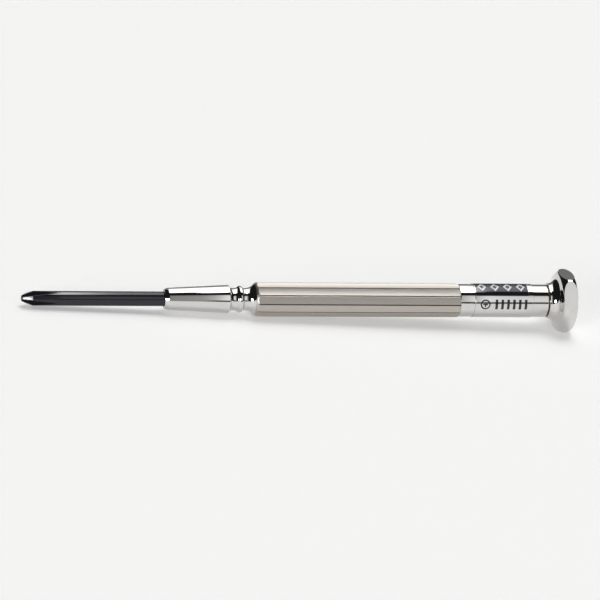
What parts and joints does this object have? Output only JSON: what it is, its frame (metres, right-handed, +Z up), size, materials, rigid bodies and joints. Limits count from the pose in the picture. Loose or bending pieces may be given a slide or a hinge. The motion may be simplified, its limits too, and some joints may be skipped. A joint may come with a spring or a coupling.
{
  "type": "watchmaker screwdriver",
  "caption": "Slim nickel-plated watchmaker screwdriver with a black cross-point blade, a fluted grip and a hexagonal finger head that spins on a ball.",
  "frame": {"origin": "centre of the blade's end face", "axes": "+X along the tool's axis from the blade tip to the swivel head, +Z up, out of the head's highest flat"},
  "size_m": [0.1155, 0.0132, 0.0116],
  "materials": {
    "nickel_polished": "mirror-polished nickel plate",
    "nickel_satin": "satin nickel plate with a fine grain along the flutes",
    "blade_black": "glossy blue-black finish on hardened steel",
    "label_film": "thin silver film with a dark printed panel",
    "steel_burnished": "burnished dark steel",
    "steel_bearing": "ground and lapped bearing steel",
    "bush_bronze": "oiled sintered bronze",
    "washer_brass": "turned brass, slightly tarnished"
  },
  "bodies": {
    "handle": {"nose_piece": "nickel_polished", "grip": "nickel_satin", "rear_sleeve": "nickel_polished", "label_band": "label_film", "ball_seat": "steel_bearing", "pivot_bush": "bush_bronze", "thrust_washer": "washer_brass"},
    "blade": {"blade": "blade_black"},
    "blade_screw": {"blade_screw": "steel_burnished"},
    "head": {"swivel_head": "nickel_polished", "head_spindle": "steel_bearing", "retaining_clip": "steel_burnished"},
    "thrust_ball": {"thrust_ball": "steel_bearing"}
  },
  "joints": [
    {"name": "head_spin", "type": "hinge", "parent": "handle", "child": "head", "pos_m": [0.112, 0, 0], "axis": [1, 0, 0], "continuous": true},
    {"name": "ball_spin", "type": "hinge", "parent": "handle", "child": "thrust_ball", "pos_m": [0.10135, 0, 0], "axis": [1, 0, 0], "continuous": true},
    {"name": "blade_slide", "type": "slide", "parent": "handle", "child": "blade", "axis": [-1, 0, 0], "range_m": [0, 0.017]},
    {"name": "blade_screw_turn", "type": "hinge", "parent": "handle", "child": "blade_screw", "pos_m": [0.0378, 0, 0], "axis": [0, 0.9304, -0.3665], "range_deg": [0, 720]}
  ],
  "couplings": [
    {"joint": "ball_spin", "follows": "head_spin", "ratio": 0.5}
  ]
}
